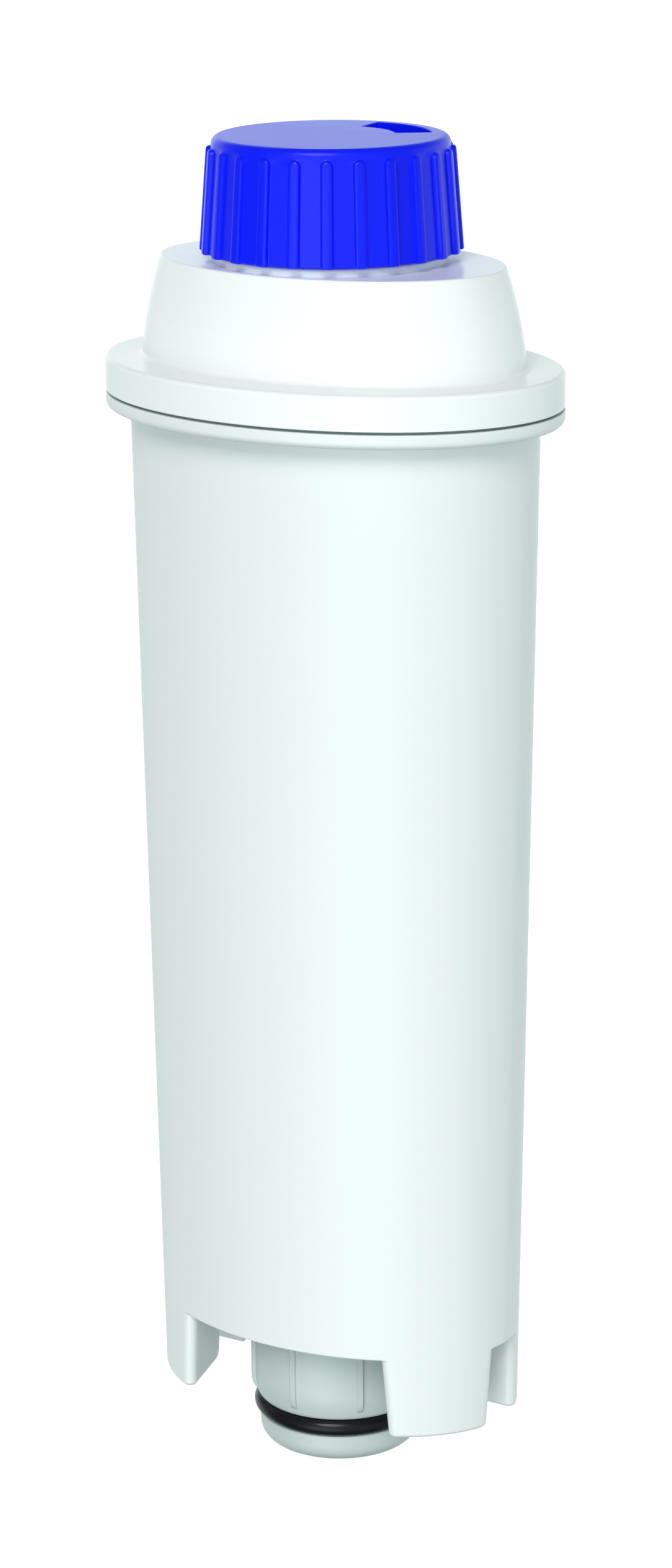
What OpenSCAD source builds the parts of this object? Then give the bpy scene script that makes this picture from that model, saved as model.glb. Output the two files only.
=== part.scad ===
// Oval filter cartridge for a water tank, with a selector knob on its lid and a sealed outlet spigot below.
// Z = 0 is the spigot's lowest point, X runs along the oval and Y across it. All sizes are in millimetres.

/* [Heights] */
// How far the spigot's tip reaches below the legs
tip_drop = 6.5; // [4:0.5:10]
// Height of the legs, from their feet to the underside of the floor
leg_h = 9; // [8:0.5:14]
// Height of the housing from the underside of its floor to its flange
body_h = 100.4; // [80:1:130]
// Thickness of the housing's flange
flange_t = 1.6; // [1.2:0.1:3]
// Thickness of the gasket between the flanges
gasket_t = 0.3; // [0.2:0.1:1]
// Thickness of the lid's flange
lid_flange_t = 3.7; // [2.5:0.1:6]
// Height of the lid's domed shoulder above its flange
dome_h = 10.6; // [7:0.1:16]
// Gap between the top of the lid and the knob's lower edge
knob_gap = 1; // [0.6:0.1:2]
// Height of the knob
knob_h = 11.9; // [10.5:0.1:16]

/* [Oval] */
// Length of the housing at its floor
body_l = 42.8; // [38:0.2:52]
// Width of the housing at its floor
body_w = 28.6; // [27.6:0.2:36]
// How much longer the housing is at its flange than at its floor
body_taper = 4; // [1:0.2:8]
// How far the flanges stand out of the housing at each end
flange_end = 2.45; // [2:0.05:5]
// How far the flanges stand out of the housing at each side
flange_side = 3.06; // [2:0.02:5]
// How far the dome's foot stays inside the housing's outline at each end
dome_end_in = 1.55; // [1:0.05:1.9]
// How far the dome's foot stays inside the housing's outline at each side
dome_side_in = 1.14; // [0.9:0.02:1.6]
// How much shorter the dome is at its top
dome_taper = 4.6; // [2:0.1:5]

/* [Walls] */
// Wall of the housing and of the lid
wall = 1.5; // [1.2:0.1:2]
// Thickness of the housing's floor
floor_t = 1.8; // [1.2:0.1:3]
// Thickness of the lid's top plate
lid_top_t = 1.6; // [1.2:0.1:3]
// Length of the lid's skirt inside the housing
skirt_h = 8.8; // [5:0.1:14]

/* [Legs] */
// Wide gap between the legs on each long side, at the floor
side_gap = 24; // [20:0.5:26]
// Narrow gap between the legs at each end, at the floor
end_gap = 3.8; // [2:0.1:5]
// How much each side of a gap opens out from the floor to the feet
gap_draft = 0.6; // [0:0.1:1.5]
// Thickness of the legs' shells and ribs
leg_t = 1.6; // [1.2:0.1:2.2]
// Reach of the ribs beside the wide gaps, inwards from the housing's side
side_rib_reach = 8.5; // [6:0.1:9.5]
// Reach of the ribs beside the narrow gaps, inwards from the housing's end
end_rib_reach = 7; // [5:0.1:8]
// Length of the slope under the ribs beside the wide gaps
rib_slope_l = 4.2; // [2:0.1:5]
// How much that slope rises towards the ribs' inner ends
rib_rise = 1.5; // [0:0.1:3]

/* [Spigot] */
// Radius of the spigot's pipe
spigot_r = 9.7; // [8:0.05:10]
// How far the lip over the O-ring stays inside the pipe's radius
lip_in = 0.6; // [0.3:0.05:1]
// How far the land below the O-ring stays inside the pipe's radius
tip_in = 0.8; // [0.5:0.05:1.2]
// Height of the rounded end of the tip
tip_round = 2; // [1:0.1:2.6]
// Radius of the outlet bore
bore_r = 5; // [3:0.1:5.4]
// Thickness of the O-ring's rubber
ring_d = 2; // [1.4:0.1:2.4]
// How far the O-ring's outer edge stays inside the pipe's radius
ring_in = 0.15; // [0:0.05:0.25]
// Height of the O-ring's middle above the tip
ring_z = 4.35; // [4:0.05:5]
// How far the ribs stand out of the pipe
spigot_rib_h = 0.35; // [0.2:0.05:0.5]
// Width of the ribs on the pipe
spigot_rib_w = 0.75; // [0.5:0.05:1.5]
// Number of ribs on the pipe
spigot_ribs = 8; // [4:1:12]
// Width of the spigot's inner flange, which lies on the seal
spigot_flange_w = 1.8; // [1.2:0.1:2.2]
// Thickness of the spigot's inner flange
spigot_flange_t = 1.6; // [1:0.1:3]
// Thickness of the flat seal under the inner flange
seal_t = 0.8; // [0.5:0.1:1.5]
// Height of the tube's socket above the inner flange
socket_h = 7.3; // [5:0.1:10]

/* [Centre tube] */
// Outer radius of the tube
tube_r = 6; // [5.4:0.1:6.2]
// Wall of the tube
tube_wall = 1.6; // [1.3:0.1:2]
// How far the tube stands above the upper grid
tube_stand = 3; // [2:0.5:6]
// Thickness of the rubber of the tube's O-ring
tube_ring_d = 1; // [0.8:0.1:1.2]
// Thickness of the outlet screen
screen_t = 0.8; // [0.5:0.1:1.5]
// Radius of the outlet screen's holes
screen_hole_r = 0.7; // [0.3:0.05:0.8]

/* [Filter bed] */
// Thickness of the grids above and below the bed
frame_t = 2; // [1.2:0.1:4]
// Thickness of the fine meshes
mesh_t = 0.3; // [0.2:0.1:0.6]
// Thickness of the fleece pads
fleece_t = 2; // [1:0.5:4]
// Share of the bed's height that is carbon
carbon_share = 0.48; // [0.2:0.01:0.8]
// Width of the openings in the grids
grid_slot = 2; // [1:0.1:2.4]
// Distance between the openings in the grids
grid_pitch = 3.2; // [3:0.1:4]
// Height of the collar of the upper grid
frame_collar_h = 1.5; // [1:0.1:3]

/* [Knob] */
// Wall of the knob at its lower edge, between the ribs
knob_wall = 1.89; // [1.4:0.01:3]
// Wall of the knob below its shoulder, between the ribs
knob_top_wall = 1.04; // [1:0.01:1.6]
// Radius of the rounded shoulder
shoulder = 0.8; // [0.4:0.1:0.9]
// Thickness of the knob's top
knob_top_t = 1.6; // [1.2:0.1:2.2]
// Number of grip ribs
knob_ribs = 24; // [12:1:36]
// Width of a grip rib
knob_rib_w = 1.25; // [0.8:0.05:1.6]
// How far a grip rib stands out
knob_rib_h = 0.5; // [0.2:0.05:0.8]
// Distance from the knob's top to the upper end of the ribs
knob_rib_top = 1.1; // [1:0.1:3]
// Inner radius of the window
window_in = 6.7; // [4:0.1:7.5]
// Distance from the window to the inside of the knob's wall
window_edge = 0.76; // [0.4:0.02:2]
// Angle that the window spans, two months of twelve
window_angle = 58; // [30:1:60]
// Direction of the window's middle, counter-clockwise from the oval's length
window_at = 65; // [0:1:359]

/* [Neck and dial] */
// Radius of the neck that the knob turns on
neck_r = 11.3; // [11:0.05:11.5]
// Wall of the neck
neck_wall = 1.5; // [1.2:0.1:2]
// Running clearance between the neck and the knob
knob_fit = 0.06; // [0.03:0.01:0.1]
// How far the snap bead stands out of the neck
bead = 0.45; // [0.3:0.05:0.6]
// Height of the snap bead
bead_h = 1; // [0.8:0.1:1.5]
// How far the collar under the knob stands out of the neck
collar_w = 0.9; // [0.5:0.05:1.4]
// Thickness of the month dial's disc
dial_t = 1.2; // [0.8:0.1:2]
// Gap between the dial and the underside of the knob's top
dial_gap = 0.5; // [0.3:0.1:0.8]
// Length of the dial's plug inside the neck
dial_plug_h = 5; // [3:0.1:7]

/* [Clearances] */
// Gap at each side of a piece that is pushed into another by hand
push_gap = 0.05; // [0.02:0.01:0.1]
// Gap between the lid's skirt, the bed's layers and the housing's wall
wall_gap = 0.12; // [0.05:0.01:0.3]
// Gap above and below the snap bead, and under the knob
play = 0.2; // [0.1:0.05:0.3]
// How far the gasket stays inside the flanges' edge
gasket_inset = 0.35; // [0.2:0.05:1]

/* [Hidden] */

// Fineness of ovals, of round pieces and of arcs
oval_fn = 180;
round_fn = 96;
arc_steps = 6;
dome_steps = 8;
// How far a cutting shape reaches past what it cuts
past = 1;

// Heights of the main faces, from the spigot's tip up
floor_z = tip_drop + leg_h;
floor_top = floor_z + floor_t;
flange_z = floor_z + body_h;
gasket_z = flange_z + flange_t;
lid_z = gasket_z + gasket_t;
dome_z = lid_z + lid_flange_t;
lid_top = dome_z + dome_h;
knob_z = lid_top + knob_gap;
knob_top = knob_z + knob_h;

// Half length of the housing at a height, outside and inside, and how flat its ovals are
slope = body_taper / 2 / body_h;
out_k = body_w / body_l;
in_k = (body_w / 2 - wall) / (body_l / 2 - wall);
function out_a(z) = body_l / 2 + slope * (z - floor_z);
function in_a(z) = out_a(z) - wall;

// Half lengths and half widths of the flanges, of the gasket and of the dome's foot
top_a = out_a(flange_z);
top_b = top_a * out_k;
flange_a = top_a + flange_end;
flange_k = (top_b + flange_side) / flange_a;
gasket_a = flange_a - gasket_inset;
gasket_k = (top_b + flange_side - gasket_inset) / gasket_a;
dome_foot_a = top_a - dome_end_in;
dome_k = (top_b - dome_side_in) / dome_foot_a;
dome_in_k = (top_b - dome_side_in - wall) / (dome_foot_a - wall);

// Heights of the spigot's inner flange, of the tube and of the bed's layers
seal_z = floor_top;
spigot_flange_z = seal_z + seal_t;
spigot_flange_top = spigot_flange_z + spigot_flange_t;
socket_top = spigot_flange_top + socket_h;
screen_z = spigot_flange_top;
tube_z = screen_z + screen_t;
socket_r = tube_r + push_gap;
socket_out_r = socket_r + tube_wall;
sleeve_r = socket_out_r + wall_gap;
bottom_mesh_z = spigot_flange_top + frame_t;
bottom_fleece_z = bottom_mesh_z + mesh_t;
carbon_z = bottom_fleece_z + fleece_t;
skirt_z = lid_z - skirt_h;
top_frame_z = skirt_z - frame_t;
top_mesh_z = top_frame_z - mesh_t;
top_fleece_z = top_mesh_z - fleece_t;
separator_z = carbon_z + (top_fleece_z - carbon_z) * carbon_share;
resin_z = separator_z + fleece_t;
tube_top = skirt_z + tube_stand;
tube_ring_z = (tube_z + socket_top) / 2;

// The spigot's radii and its O-ring's groove
lip_r = spigot_r - lip_in;
tip_r = spigot_r - tip_in;
ring_r = spigot_r - ring_in;
groove_r = ring_r - ring_d;
groove_h = ring_d + 2 * push_gap;
groove_low = ring_z - groove_h / 2;
groove_high = ring_z + groove_h / 2;
neck_land_r = spigot_r + spigot_rib_h + push_gap;
spigot_flange_r = neck_land_r + spigot_flange_w;
floor_hole_r = neck_land_r + push_gap;

// The lip flares out to the pipe's radius, most of the way in the lower half of the swell
swell_h = 2.8;
swell_z = groove_high + swell_h;
flare_z = groove_high + swell_h / 2;
flare = 0.7;

// The knob, its neck and its dial
knob_bore = neck_r + knob_fit;
knob_r = knob_bore + knob_wall;
knob_top_r = knob_bore + knob_top_wall;
window_out = knob_bore - window_edge;
knob_inside = knob_top - knob_top_t;
dial_top = knob_inside - dial_gap;
neck_top = dial_top - dial_t;
bead_z = neck_top - 2 * bead_h;
dial_r = knob_bore - play;
plug_r = neck_r - neck_wall - push_gap;
rib_angle = knob_rib_w / knob_top_r * 180 / PI;
spigot_rib_angle = spigot_rib_w / spigot_r * 180 / PI;

// Turns an outline about the axis and flattens it across by k, in four quarters that each stay exact
module oval_turn(k, outline) {
    for (i = [0 : 3]) multmatrix([[1, 0, 0, 0], [0, k, 0, 0], [0, 0, 1, 0], [0, 0, 0, 1]])
        rotate(90 * i) rotate_extrude(angle = 90, $fn = oval_fn) polygon(outline);
}

// An oval cone from z0 to z1 with the half lengths a0 and a1
module oval(z0, z1, a0, a1, k) {
    oval_turn(k, [[0, z0], [a0, z0], [a1, z1], [0, z1]]);
}

// What fills the housing's cavity from z0 to z1, less a gap
module cavity(z0, z1, gap = 0) {
    oval(z0, z1, in_a(z0) - gap, in_a(z1) - gap, in_k);
}

// A round bar on the axis from z0 to z1
module bar(z0, z1, r) {
    translate([0, 0, z0]) cylinder(h = z1 - z0, r = r, $fn = round_fn);
}

// A ring of the given radii from z0 to z1
module ring(z0, z1, r_out, r_in) {
    difference() {
        bar(z0, z1, r_out);
        bar(z0 - past, z1 + past, r_in);
    }
}

// A torus whose outer edge lies at r_out
module o_ring(z, r_out, d) {
    translate([0, 0, z]) rotate_extrude($fn = round_fn) translate([r_out - d / 2, 0])
        circle(d = d, $fn = round_fn / 2);
}

// Points of a quarter arc with its middle at c, from angle a0 to a1
function arc(c, r, a0, a1) = [for (i = [0 : arc_steps]) let (a = a0 + (a1 - a0) * i / arc_steps)
    [c[0] + r * cos(a), c[1] + r * sin(a)]];

// A wedge across the whole object, gap wide at the floor and wider at the feet, along X
module gap_prism(gap, reach) {
    feet = gap / 2 + gap_draft;
    translate([-reach, 0, 0]) rotate([90, 0, 90]) linear_extrude(2 * reach)
        polygon([[-feet - gap_draft, tip_drop - leg_h], [feet + gap_draft, tip_drop - leg_h],
            [gap / 2, floor_z], [-gap / 2, floor_z]]);
}

// One rib's slab beside a gap, before it is cut to the housing's outside
module rib_slab(gap, from, reach) {
    difference() {
        translate([from, 0, tip_drop]) cube([reach - from, gap / 2 + gap_draft + leg_t, leg_h + floor_t / 2]);
        gap_prism(gap, 2 * reach);
    }
}

// The shell and the two ribs of the leg in the quarter where X and Y are positive
module leg() {
    intersection() {
        oval(tip_drop, floor_z + floor_t / 2, out_a(tip_drop), out_a(floor_z + floor_t / 2), out_k);
        difference() {
            union() {
                difference() {
                    translate([0, 0, tip_drop]) cube([body_l, body_w, leg_h + floor_t / 2]);
                    oval(tip_drop - past, floor_top, in_a(tip_drop - past), in_a(floor_top), in_k);
                    gap_prism(end_gap, body_l);
                    rotate(90) gap_prism(side_gap, body_l);
                }
                rib_slab(end_gap, body_l / 2 - end_rib_reach, body_l);
                mirror([1, -1, 0]) rib_slab(side_gap, body_w / 2 - side_rib_reach, body_l);
            }
            rib_slope();
        }
    }
}

// The slope under the rib beside a wide gap
module rib_slope() {
    inner = body_w / 2 - side_rib_reach;
    outer = inner + rib_slope_l;
    translate([side_gap / 2 - past, 0, 0]) rotate([90, 0, 90]) linear_extrude(gap_draft + leg_t + past)
        polygon([[inner - past, tip_drop - past], [outer, tip_drop - past], [outer, tip_drop],
            [inner, tip_drop + rib_rise], [inner - past, tip_drop + rib_rise]]);
}

// Inlet slits through the floor at one end of the oval
module inlet_slits() {
    slit_w = 1.2;
    slit_pitch = 4.95;
    edge = 0.8;
    for (y = [-slit_pitch, 0, slit_pitch]) {
        near = sqrt(pow(spigot_flange_r + edge, 2) - y * y);
        far = in_a(floor_z) * sqrt(1 - pow(y / (in_a(floor_z) * in_k), 2)) - edge;
        translate([near, y - slit_w / 2, floor_z - past]) cube([far - near, slit_w, floor_t + 2 * past]);
    }
}

// The tall shell with its flange, four legs and the hole for the spigot
module housing() {
    color("white") difference() {
        union() {
            difference() {
                oval(floor_z, gasket_z, out_a(floor_z), out_a(gasket_z), out_k);
                cavity(floor_top, gasket_z + past);
            }
            difference() {
                oval(flange_z, gasket_z, flange_a, flange_a, flange_k);
                cavity(flange_z - past, gasket_z + past);
            }
            for (mx = [0, 1], my = [0, 1]) mirror([mx, 0, 0]) mirror([0, my, 0]) leg();
        }
        bar(floor_z - past, floor_top + past, floor_hole_r);
        for (mx = [0, 1]) mirror([mx, 0, 0]) inlet_slits();
    }
}

// Half length of the dome at a share t of its height, less an inset
function dome_a(t, inset) = dome_foot_a - inset - dome_taper / 2 * pow(t, 1.6);

// The dome from its foot at z up to the height h, less an inset
module dome(z, inset, k, h) {
    side = [for (i = [0 : dome_steps]) [dome_a(i / dome_steps, inset), z + h * i / dome_steps]];
    oval_turn(k, concat([[0, z]], side, [[0, z + h]]));
}

module lid() {
    lid_in = in_a(lid_z) - wall_gap - wall;
    color("white") difference() {
        union() {
            oval(lid_z, dome_z, flange_a, flange_a, flange_k);
            dome(dome_z, 0, dome_k, dome_h);
            cavity(skirt_z, lid_z + past / 2, wall_gap);
            bar(lid_top - past / 2, knob_z - play, neck_r + collar_w);
            bar(lid_top - past / 2, neck_top, neck_r);
            bar(bead_z, bead_z + bead_h, neck_r + bead);
        }
        oval(skirt_z - past, dome_z, in_a(skirt_z - past) - wall_gap - wall, lid_in, in_k);
        dome(dome_z - past / 2, wall, dome_in_k, dome_h - lid_top_t + past / 2);
        bar(lid_top, neck_top + past, neck_r - neck_wall);
    }
}

module flange_gasket() {
    color("dimgray") difference() {
        oval(gasket_z, lid_z, gasket_a, gasket_a, gasket_k);
        cavity(gasket_z - past, lid_z + past);
    }
}

// Radius of the knob's side, between the ribs, at the height z
function knob_side(z) = knob_r + (knob_top_r - knob_r) * (z - knob_z) / (knob_h - shoulder);

module knob_rib() {
    rib_z = knob_top - knob_rib_top;
    rotate_extrude(angle = rib_angle, $fn = round_fn) polygon([
        [knob_bore + knob_rib_h, knob_z], [knob_r + knob_rib_h, knob_z],
        [knob_side(rib_z) + knob_rib_h, rib_z], [knob_bore + knob_rib_h, rib_z]]);
}

module selector_knob() {
    color("mediumblue") difference() {
        union() {
            rotate_extrude($fn = oval_fn) polygon(concat([[0, knob_z], [knob_r, knob_z]],
                arc([knob_top_r - shoulder, knob_top - shoulder], shoulder, 0, 90), [[0, knob_top]]));
            for (i = [0 : knob_ribs - 1]) rotate(i * 360 / knob_ribs - rib_angle / 2) knob_rib();
        }
        bar(knob_z - past, knob_inside, knob_bore);
        bar(bead_z - play, bead_z + bead_h + play, knob_bore + bead);
        rotate(window_at - window_angle / 2) rotate_extrude(angle = window_angle, $fn = round_fn)
            translate([window_in, knob_inside - past])
                square([window_out - window_in, knob_top_t + 2 * past]);
    }
}

module month_dial() {
    color("blue") difference() {
        union() {
            bar(neck_top, dial_top, dial_r);
            bar(neck_top - dial_plug_h, neck_top + past / 2, plug_r);
        }
        bar(neck_top - dial_plug_h - past, neck_top, plug_r - neck_wall);
    }
}

module spigot_rib() {
    rotate_extrude(angle = spigot_rib_angle, $fn = round_fn) polygon([
        [spigot_r - past, flare_z], [(lip_r + spigot_r) / 2, flare_z], [spigot_r + spigot_rib_h, swell_z],
        [spigot_r + spigot_rib_h, floor_z], [spigot_r - past, floor_z]]);
}

module outlet_spigot() {
    color("gainsboro") union() {
        rotate_extrude($fn = round_fn) polygon(concat(
            [[bore_r, 0]], arc([tip_r - tip_round, tip_round], tip_round, -90, 0),
            [[tip_r, groove_low], [groove_r, groove_low], [groove_r, groove_high], [lip_r, groove_high],
                [lip_r + lip_in * flare, flare_z], [spigot_r, swell_z],
                [spigot_r, floor_z], [neck_land_r, floor_z], [neck_land_r, spigot_flange_z],
                [spigot_flange_r, spigot_flange_z], [spigot_flange_r, spigot_flange_top],
                [socket_out_r, spigot_flange_top], [socket_out_r, socket_top], [socket_r, socket_top],
                [socket_r, screen_z], [bore_r, screen_z]]));
        for (i = [0 : spigot_ribs - 1]) rotate(i * 360 / spigot_ribs - spigot_rib_angle / 2) spigot_rib();
    }
}

module spigot_o_ring() {
    color("black") o_ring(ring_z, ring_r, ring_d);
}

module spigot_seal() {
    color("darkslategray") ring(seal_z, spigot_flange_z, spigot_flange_r - push_gap, neck_land_r + push_gap);
}

module outlet_screen() {
    hole_pitch = 3 * screen_hole_r;
    color("lightgray") difference() {
        bar(screen_z, tube_z, tube_r);
        bar(screen_z - past, tube_z + past, screen_hole_r);
        for (row = [1, 2], i = [0 : 6 * row - 1]) rotate(i * 60 / row) translate([row * hole_pitch, 0, 0])
            bar(screen_z - past, tube_z + past, screen_hole_r);
    }
}

module centre_tube() {
    groove = tube_ring_d + 2 * push_gap;
    color("white") difference() {
        ring(tube_z, tube_top, tube_r, tube_r - tube_wall);
        ring(tube_ring_z - groove / 2, tube_ring_z + groove / 2, tube_r + past, socket_r - tube_ring_d);
    }
}

module tube_o_ring() {
    color("black") o_ring(tube_ring_z, socket_r, tube_ring_d);
}

// A layer of the bed that fills the cavity from z0 to z1 around the tube or the tube's socket
module layer(z0, z1) {
    difference() {
        cavity(z0, z1, wall_gap);
        bar(z0 - past, z1 + past, tube_r + wall_gap);
        if (z0 < socket_top) bar(z0 - past, socket_top + wall_gap, sleeve_r);
    }
}

// Rows of openings through a grid, clear of a hub on its axis
module grid_openings(z0, z1, hub_r) {
    edge = 1.2;
    rows = floor((in_a(z0) - edge) / grid_pitch);
    for (i = [-rows : rows]) {
        x = i * grid_pitch;
        span = in_a(z0) * in_k * sqrt(1 - pow((abs(x) + grid_slot / 2) / in_a(z0), 2)) - edge;
        hub = hub_r + edge > abs(x) ? sqrt(pow(hub_r + edge, 2) - x * x) : edge / 2;
        if (span - hub > grid_slot) for (my = [0, 1]) mirror([0, my, 0])
            translate([x - grid_slot / 2, hub, z0 - past]) cube([grid_slot, span - hub, z1 - z0 + 2 * past]);
    }
}

module bottom_frame() {
    color("whitesmoke") difference() {
        layer(spigot_flange_top, bottom_mesh_z);
        grid_openings(spigot_flange_top, bottom_mesh_z, sleeve_r);
    }
}

module bottom_mesh() {
    color("silver") layer(bottom_mesh_z, bottom_fleece_z);
}

module bottom_fleece() {
    color("ivory") layer(bottom_fleece_z, carbon_z);
}

module carbon_bed() {
    color("dimgray") layer(carbon_z, separator_z);
}

module separator_fleece() {
    color("ivory") layer(separator_z, resin_z);
}

module resin_bed() {
    color("goldenrod") layer(resin_z, top_fleece_z);
}

module top_fleece() {
    color("ivory") layer(top_fleece_z, top_mesh_z);
}

module top_mesh() {
    color("silver") layer(top_mesh_z, top_frame_z);
}

module top_frame() {
    collar_out = tube_r + wall_gap + tube_wall;
    color("whitesmoke") difference() {
        union() {
            layer(top_frame_z, skirt_z);
            ring(top_frame_z, skirt_z + frame_collar_h, collar_out, tube_r + wall_gap);
        }
        grid_openings(top_frame_z, skirt_z, collar_out);
    }
}

housing();
lid();
flange_gasket();
selector_knob();
month_dial();
outlet_spigot();
spigot_o_ring();
spigot_seal();
outlet_screen();
centre_tube();
tube_o_ring();
bottom_frame();
bottom_mesh();
bottom_fleece();
carbon_bed();
separator_fleece();
resin_bed();
top_fleece();
top_mesh();
top_frame();
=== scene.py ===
"""Looks of an oval tank filter cartridge with a selector knob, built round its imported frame."""
import math

import bmesh
import bpy
from bpy.props import FloatProperty, FloatVectorProperty, IntProperty, PointerProperty
from bpy.types import Operator, Panel, PropertyGroup
from mathutils import Matrix, Vector
from mathutils.geometry import tessellate_polygon


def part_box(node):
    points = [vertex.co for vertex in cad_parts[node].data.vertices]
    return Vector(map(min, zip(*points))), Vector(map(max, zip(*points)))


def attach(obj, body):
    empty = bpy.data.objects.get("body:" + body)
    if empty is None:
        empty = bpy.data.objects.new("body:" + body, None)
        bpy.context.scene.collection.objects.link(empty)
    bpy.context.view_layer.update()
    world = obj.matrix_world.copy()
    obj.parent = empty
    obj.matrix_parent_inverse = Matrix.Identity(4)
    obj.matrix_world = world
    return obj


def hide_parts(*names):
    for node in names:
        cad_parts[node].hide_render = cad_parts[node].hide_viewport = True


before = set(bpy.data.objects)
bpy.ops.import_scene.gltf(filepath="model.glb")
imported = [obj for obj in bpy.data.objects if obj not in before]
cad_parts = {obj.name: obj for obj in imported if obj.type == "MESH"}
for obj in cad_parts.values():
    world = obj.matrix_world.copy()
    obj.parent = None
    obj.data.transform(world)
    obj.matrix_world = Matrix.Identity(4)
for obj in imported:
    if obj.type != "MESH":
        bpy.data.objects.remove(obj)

bl_info = {
    "name": "Tank Filter Cartridge",
    "version": (1, 0, 0),
    "blender": (4, 5, 0),
    "location": "View3D > Sidebar > Cartridge",
    "description": "Builds the shells, knob, spigot, seals and filter bed of an oval tank filter cartridge",
    "category": "Add Mesh",
}

MM = 0.001
WELD = 1e-7
QUARTER = math.pi / 2
TURN = 2 * math.pi

# Points round each turned piece, and along the outer side of a leg
LID_POINTS = 256
HOLE_POINTS = 120
DIAL_POINTS = 180
RING_POINTS = 192
RING_SECTION = 40
LEG_STEPS = 44

# Over how much of a gap the wall's lower edge takes up its rounding
HEM_BLEND = 0.9 * MM
# The smallest radius that an inset corner keeps
LEAST_RADIUS = 0.1 * MM
# Width of the floor left between a slit and the spigot or the wall
BRIDGE = 0.8 * MM
# Gap of the pieces that are pushed together
PUSH_GAP = 0.05 * MM
# How the dome curves in towards its top, where 1 is straight
DOME_CURVE = 1.6
# Height of a grip rib's middle line, as a share of its crest
RIB_CROWN = 1.02

# Month numbers on the dial
MONTHS = 12
MARK_RADIUS = 8.7 * MM
MARK_SIZE = 3 * MM
MARK_RAISED = 0.05 * MM
TICK_WIDTH = 0.25 * MM

# Each patch of the studio's light: its azimuth and elevation in degrees, the cosines between which it
# fades in, and its strength
SURROUND = (
    ((0, 90), -2.0, -1.0, 0.22),
    ((0, -90), -0.1, 0.2, -0.06),
    ((-120, -15), 0.6, 0.95, 0.9),
    ((158, -15), 0.6, 0.95, 1.0),
    ((-148, 12), 0.8, 0.97, 0.55),
    ((26, 0), 0.3, 1.0, 0.54),
    ((95, 0), 0.3, 1.0, 0.2),
    ((10, -14), 0.85, 0.99, 1.6),
)
ROOM_TINT = (0.87, 1.0, 0.985, 1.0)
KEY_AT = (16, 40)
KEY_POWER = 1.55
KEY_SPREAD = 28
KEY_TINT = (1.0, 0.95, 0.955)
FLOOR_RADIUS = 8.0
FLOOR_COLOUR = (0.75, 0.74, 0.74)
FLOOR_GLOW = 0.8


# --- Heights and half sizes that the frame gives -----------------------------


def low(node):
    """Lowest corner of a node's box."""
    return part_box(node)[0]


def high(node):
    """Highest corner of a node's box."""
    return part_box(node)[1]


FEET = low("housing").z
GASKET_LOW = low("flange_gasket").z
GASKET_TOP = high("flange_gasket").z
FLOOR_TOP = low("spigot_seal").z
SEAL_TOP = high("spigot_seal").z
FLANGE_A = high("housing").x
FLANGE_B = high("housing").y
SKIRT_LOW = low("lid").z
NECK_TOP = high("lid").z
DIAL_TOP = high("month_dial").z
KNOB_LOW = low("selector_knob").z
KNOB_TOP = high("selector_knob").z
SOCKET_TOP = high("outlet_spigot").z
SPIGOT_LAND = high("outlet_spigot").x
SCREEN_LOW = low("outlet_screen").z
RING_MIDDLE = (low("spigot_o_ring").z + high("spigot_o_ring").z) / 2
RING_OUTER = high("spigot_o_ring").x


# --- Sizes and colours that a user may change --------------------------------


def length(name, description, millimetres):
    """A length property whose default is given in millimetres."""
    return FloatProperty(name=name, description=description, default=millimetres * MM, min=0.0,
                         unit="LENGTH", subtype="DISTANCE", precision=5)


def colour(name, description, rgb):
    """A colour property, in linear light."""
    return FloatVectorProperty(name=name, description=description, default=rgb, size=3,
                               min=0.0, max=1.0, subtype="COLOR")


class HousingSizes(PropertyGroup):
    """Sizes of the tall oval shell and its legs."""
    length_at_floor: length("Length at floor", "Length of the oval at the floor", 42.8)
    width_at_floor: length("Width at floor", "Width of the oval at the floor", 28.6)
    taper: length("Taper", "How much longer the oval is at the flange than at the floor", 4)
    wall: length("Wall", "Wall of the shell", 1.5)
    floor_depth: length("Floor", "Thickness of the floor", 1.8)
    flange_depth: length("Flange", "Thickness of the flange", 1.6)
    flange_fillet: length("Flange fillet", "Radius under the flange, where it meets the wall", 0.35)
    flange_round: length("Flange rounding", "Radius of the flange's lower edge", 0.75)
    lip_round: length("Lip rounding", "Radius of the flange's edge beside the gasket", 0.1)
    hem: length("Hem", "Radius of the wall's lower edge over the gaps", 0.22)
    side_gap: length("Side gap", "Gap between the legs on each long side, at the floor", 24)
    end_gap: length("End gap", "Gap between the legs at each end, at the floor", 3.8)
    gap_draft: length("Gap draft", "How far each side of a gap leans back from the floor to the feet", 0.6)
    rib: length("Rib", "Thickness of the legs' ribs at the feet", 1.6)
    side_rib_reach: length("Side rib reach", "Reach of the ribs beside the side gaps", 8.5)
    end_rib_reach: length("End rib reach", "Reach of the ribs beside the end gaps", 7)
    slope_length: length("Slope length", "Length of the slope under the ribs beside the side gaps", 4.2)
    slope_rise: length("Slope rise", "How much that slope rises inwards", 1.5)
    corner: length("Leg corner", "Radius of the legs' upright outer corners", 0.85)
    inner_corner: length("Inner corner", "Radius where a rib meets the leg's shell", 0.5)
    rib_corner: length("Rib corner", "Radius at the ribs' inner ends", 0.3)
    foot_round: length("Foot rounding", "Radius round the legs' feet", 0.45)
    slit_width: length("Slit width", "Width of the inlet slits in the floor", 1.2)
    slit_pitch: length("Slit pitch", "Distance between the inlet slits", 4.95)
    spigot_hole: length("Spigot hole", "Radius of the hole for the spigot", 10.15)


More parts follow.
